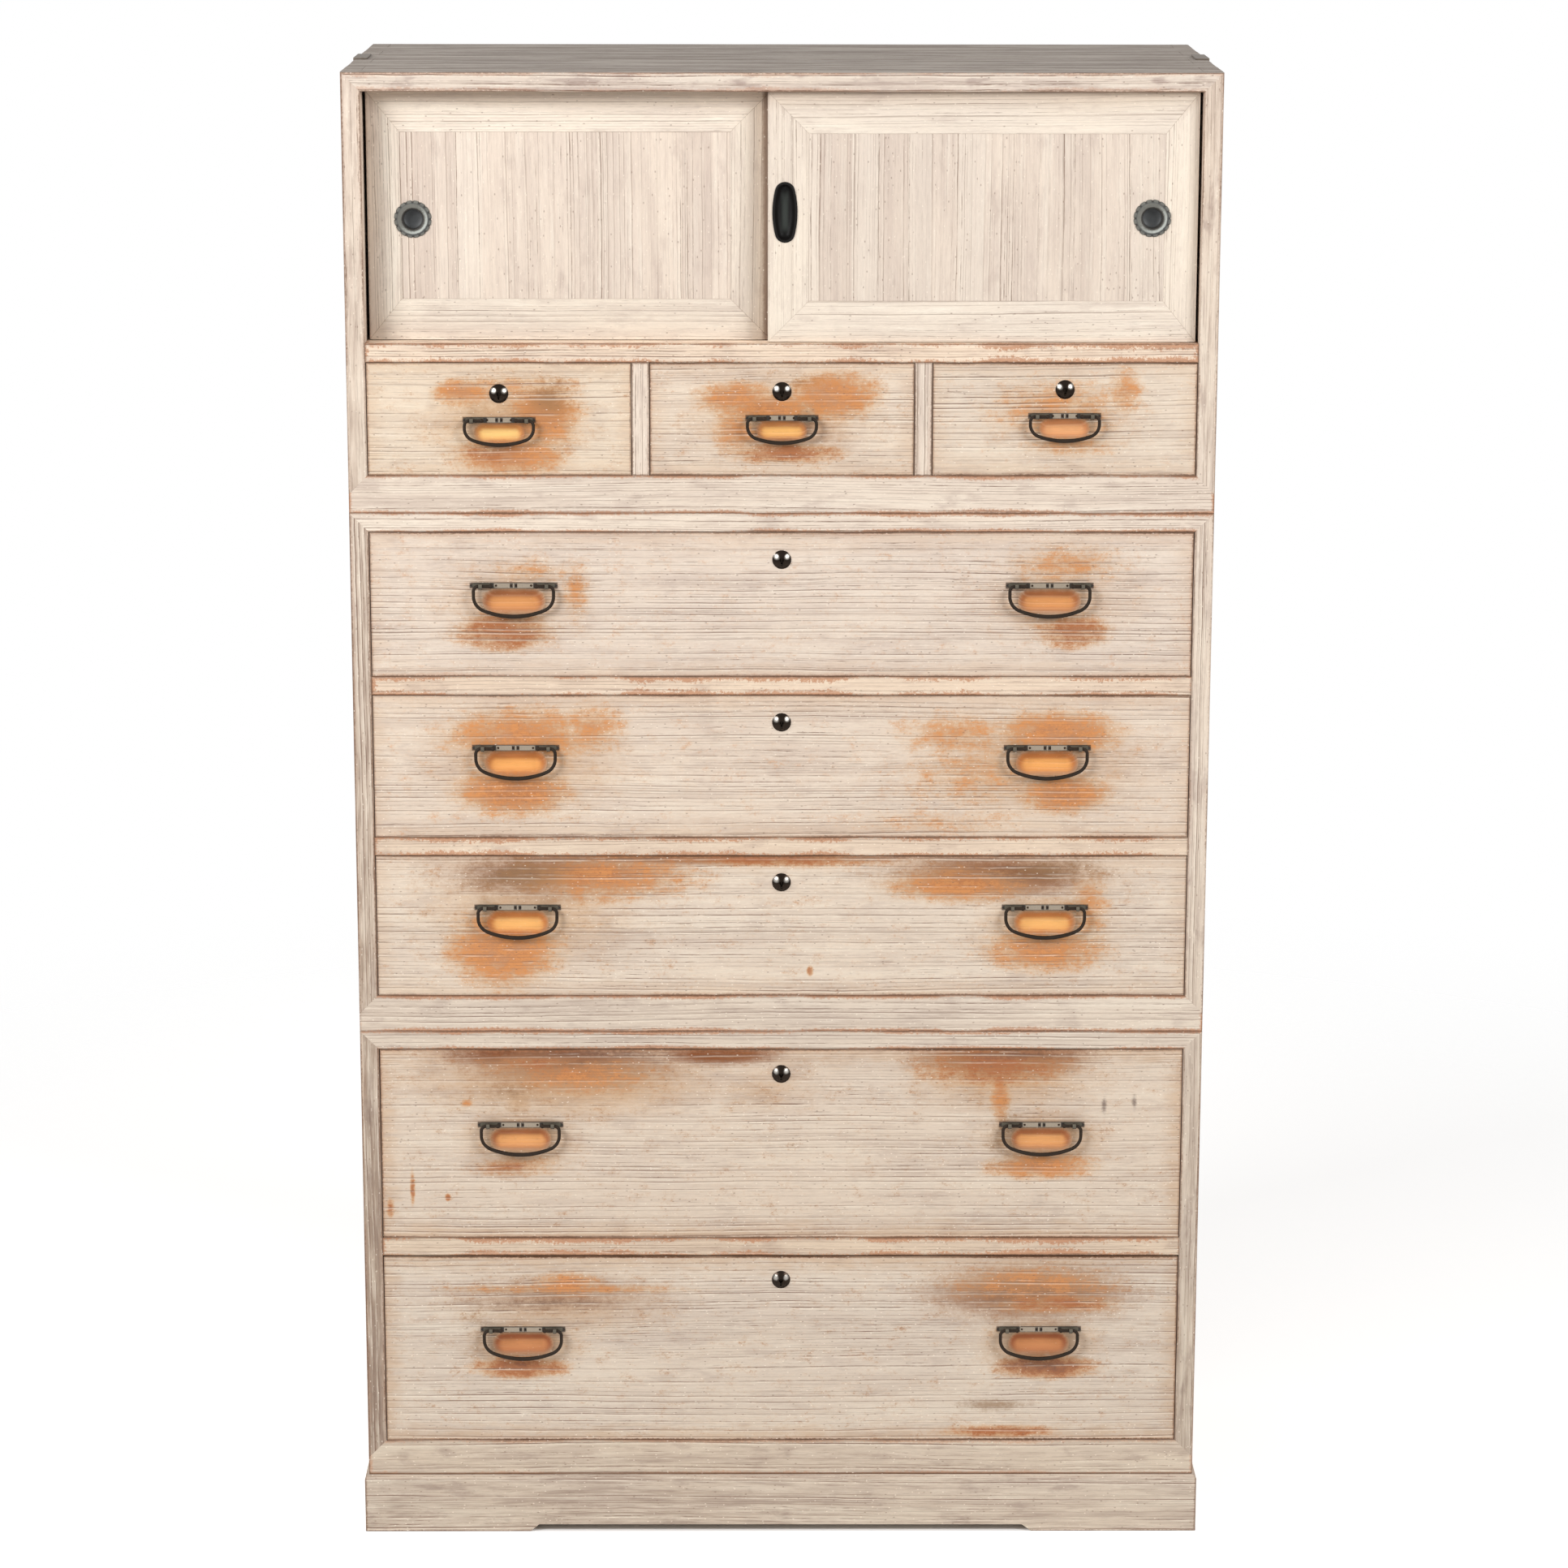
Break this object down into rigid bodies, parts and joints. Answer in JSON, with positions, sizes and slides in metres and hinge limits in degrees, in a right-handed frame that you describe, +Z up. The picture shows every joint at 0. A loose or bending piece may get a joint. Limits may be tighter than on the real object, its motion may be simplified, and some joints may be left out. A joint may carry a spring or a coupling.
{
  "type": "stacked drawer chest with sliding cupboard doors",
  "caption": "Tall stacked paulownia clothing chest on a plinth: wide and small drawers with bail handles, and a cupboard with sliding doors on top.",
  "frame": {"origin": "on the floor, at the middle of the chest's bounding box", "axes": "+X to the right as the drawers are faced, +Y to the back, +Z up; the doors and drawers face -Y"},
  "size_m": [1.0278, 0.4638, 1.762],
  "materials": {
    "paulownia": "bare planed paulownia, pale pinkish tan, worn at the edges",
    "inner_paulownia": "bare sawn paulownia, dull",
    "iron_wire": "dark grey-brown wrought iron, satin",
    "iron_plate": "dull pewter-grey sheet iron",
    "pull_metal": "dark tinned iron, worn"
  },
  "bodies": {
    "case": {"plinth": "paulownia", "lower_sides": "paulownia", "lower_top": "paulownia", "lower_floor": "paulownia", "middle_sides": "paulownia", "middle_top": "paulownia", "middle_floor": "paulownia", "upper_sides": "paulownia", "upper_top": "paulownia", "upper_floor": "paulownia", "cupboard_shelf": "paulownia", "small_drawer_dividers": "paulownia", "drawer_rails": "paulownia", "back_planks": "inner_paulownia", "carry_handle_brackets": "iron_plate"},
    "small_left_drawer": {"small_left_drawer_front": "paulownia", "small_left_drawer_box": "inner_paulownia", "small_left_drawer_fittings": "iron_plate"},
    "small_left_drawer_bail": {"small_left_drawer_bail": "iron_wire"},
    "small_centre_drawer": {"small_centre_drawer_front": "paulownia", "small_centre_drawer_box": "inner_paulownia", "small_centre_drawer_fittings": "iron_plate"},
    "small_centre_drawer_bail": {"small_centre_drawer_bail": "iron_wire"},
    "small_right_drawer": {"small_right_drawer_front": "paulownia", "small_right_drawer_box": "inner_paulownia", "small_right_drawer_fittings": "iron_plate"},
    "small_right_drawer_bail": {"small_right_drawer_bail": "iron_wire"},
    "wide_bottom_drawer": {"wide_bottom_drawer_front": "paulownia", "wide_bottom_drawer_box": "inner_paulownia", "wide_bottom_drawer_fittings": "iron_plate"},
    "wide_bottom_drawer_left_bail": {"wide_bottom_drawer_left_bail": "iron_wire"},
    "wide_bottom_drawer_right_bail": {"wide_bottom_drawer_right_bail": "iron_wire"},
    "wide_middle_drawer": {"wide_middle_drawer_front": "paulownia", "wide_middle_drawer_box": "inner_paulownia", "wide_middle_drawer_fittings": "iron_plate"},
    "wide_middle_drawer_left_bail": {"wide_middle_drawer_left_bail": "iron_wire"},
    "wide_middle_drawer_right_bail": {"wide_middle_drawer_right_bail": "iron_wire"},
    "wide_top_drawer": {"wide_top_drawer_front": "paulownia", "wide_top_drawer_box": "inner_paulownia", "wide_top_drawer_fittings": "iron_plate"},
    "wide_top_drawer_left_bail": {"wide_top_drawer_left_bail": "iron_wire"},
    "wide_top_drawer_right_bail": {"wide_top_drawer_right_bail": "iron_wire"},
    "deep_bottom_drawer": {"deep_bottom_drawer_front": "paulownia", "deep_bottom_drawer_box": "inner_paulownia", "deep_bottom_drawer_fittings": "iron_plate"},
    "deep_bottom_drawer_left_bail": {"deep_bottom_drawer_left_bail": "iron_wire"},
    "deep_bottom_drawer_right_bail": {"deep_bottom_drawer_right_bail": "iron_wire"},
    "deep_top_drawer": {"deep_top_drawer_front": "paulownia", "deep_top_drawer_box": "inner_paulownia", "deep_top_drawer_fittings": "iron_plate"},
    "deep_top_drawer_left_bail": {"deep_top_drawer_left_bail": "iron_wire"},
    "deep_top_drawer_right_bail": {"deep_top_drawer_right_bail": "iron_wire"},
    "left_door": {"left_door_frame": "paulownia", "left_door_panel": "paulownia", "left_door_pulls": "pull_metal"},
    "right_door": {"right_door_frame": "paulownia", "right_door_panel": "paulownia", "right_door_pulls": "pull_metal"},
    "left_carry_bail": {"left_carry_bail": "iron_wire"},
    "right_carry_bail": {"right_carry_bail": "iron_wire"}
  },
  "joints": [
    {"name": "small_left_drawer_slide", "type": "slide", "parent": "case", "child": "small_left_drawer", "axis": [0, -1, 0], "range_m": [0, 0.33]},
    {"name": "small_left_drawer_bail_hinge", "type": "hinge", "parent": "small_left_drawer", "child": "small_left_drawer_bail", "pos_m": [-0.32533, -0.22855, 1.3635], "axis": [-1, 0, 0], "range_deg": [-4, 176]},
    {"name": "small_centre_drawer_slide", "type": "slide", "parent": "case", "child": "small_centre_drawer", "axis": [0, -1, 0], "range_m": [0, 0.33]},
    {"name": "small_centre_drawer_bail_hinge", "type": "hinge", "parent": "small_centre_drawer", "child": "small_centre_drawer_bail", "pos_m": [0, -0.22855, 1.366], "axis": [-1, 0, 0], "range_deg": [-4, 176]},
    {"name": "small_right_drawer_slide", "type": "slide", "parent": "case", "child": "small_right_drawer", "axis": [0, -1, 0], "range_m": [0, 0.33]},
    {"name": "small_right_drawer_bail_hinge", "type": "hinge", "parent": "small_right_drawer", "child": "small_right_drawer_bail", "pos_m": [0.32533, -0.22855, 1.3685], "axis": [-1, 0, 0], "range_deg": [-4, 176]},
    {"name": "wide_bottom_drawer_slide", "type": "slide", "parent": "case", "child": "wide_bottom_drawer", "axis": [0, -1, 0], "range_m": [0, 0.33]},
    {"name": "wide_bottom_drawer_left_bail_hinge", "type": "hinge", "parent": "wide_bottom_drawer", "child": "wide_bottom_drawer_left_bail", "pos_m": [-0.311, -0.22855, 0.784], "axis": [-1, 0, 0], "range_deg": [-4, 176]},
    {"name": "wide_bottom_drawer_right_bail_hinge", "type": "hinge", "parent": "wide_bottom_drawer", "child": "wide_bottom_drawer_right_bail", "pos_m": [0.311, -0.22855, 0.784], "axis": [-1, 0, 0], "range_deg": [-4, 176]},
    {"name": "wide_middle_drawer_slide", "type": "slide", "parent": "case", "child": "wide_middle_drawer", "axis": [0, -1, 0], "range_m": [0, 0.33]},
    {"name": "wide_middle_drawer_left_bail_hinge", "type": "hinge", "parent": "wide_middle_drawer", "child": "wide_middle_drawer_left_bail", "pos_m": [-0.311, -0.22855, 0.977], "axis": [-1, 0, 0], "range_deg": [-4, 176]},
    {"name": "wide_middle_drawer_right_bail_hinge", "type": "hinge", "parent": "wide_middle_drawer", "child": "wide_middle_drawer_right_bail", "pos_m": [0.311, -0.22855, 0.977], "axis": [-1, 0, 0], "range_deg": [-4, 176]},
    {"name": "wide_top_drawer_slide", "type": "slide", "parent": "case", "child": "wide_top_drawer", "axis": [0, -1, 0], "range_m": [0, 0.33]},
    {"name": "wide_top_drawer_left_bail_hinge", "type": "hinge", "parent": "wide_top_drawer", "child": "wide_top_drawer_left_bail", "pos_m": [-0.311, -0.22855, 1.17], "axis": [-1, 0, 0], "range_deg": [-4, 176]},
    {"name": "wide_top_drawer_right_bail_hinge", "type": "hinge", "parent": "wide_top_drawer", "child": "wide_top_drawer_right_bail", "pos_m": [0.311, -0.22855, 1.17], "axis": [-1, 0, 0], "range_deg": [-4, 176]},
    {"name": "deep_bottom_drawer_slide", "type": "slide", "parent": "case", "child": "deep_bottom_drawer", "axis": [0, -1, 0], "range_m": [0, 0.33]},
    {"name": "deep_bottom_drawer_left_bail_hinge", "type": "hinge", "parent": "deep_bottom_drawer", "child": "deep_bottom_drawer_left_bail", "pos_m": [-0.311, -0.22855, 0.258], "axis": [-1, 0, 0], "range_deg": [-4, 176]},
    {"name": "deep_bottom_drawer_right_bail_hinge", "type": "hinge", "parent": "deep_bottom_drawer", "child": "deep_bottom_drawer_right_bail", "pos_m": [0.311, -0.22855, 0.258], "axis": [-1, 0, 0], "range_deg": [-4, 176]},
    {"name": "deep_top_drawer_slide", "type": "slide", "parent": "case", "child": "deep_top_drawer", "axis": [0, -1, 0], "range_m": [0, 0.33]},
    {"name": "deep_top_drawer_left_bail_hinge", "type": "hinge", "parent": "deep_top_drawer", "child": "deep_top_drawer_left_bail", "pos_m": [-0.311, -0.22855, 0.516], "axis": [-1, 0, 0], "range_deg": [-4, 176]},
    {"name": "deep_top_drawer_right_bail_hinge", "type": "hinge", "parent": "deep_top_drawer", "child": "deep_top_drawer_right_bail", "pos_m": [0.311, -0.22855, 0.516], "axis": [-1, 0, 0], "range_deg": [-4, 176]},
    {"name": "left_door_slide", "type": "slide", "parent": "case", "child": "left_door", "axis": [1, 0, 0], "range_m": [-0.003, 0.489]},
    {"name": "right_door_slide", "type": "slide", "parent": "case", "child": "right_door", "axis": [-1, 0, 0], "range_m": [-0.003, 0.461]},
    {"name": "left_carry_bail_hinge", "type": "hinge", "parent": "case", "child": "left_carry_bail", "pos_m": [-0.509, 0.00445, 1.734], "axis": [0, 1, 0], "range_deg": [-4, 176]},
    {"name": "right_carry_bail_hinge", "type": "hinge", "parent": "case", "child": "right_carry_bail", "pos_m": [0.509, 0.00445, 1.734], "axis": [0, -1, 0], "range_deg": [-4, 176]}
  ]
}
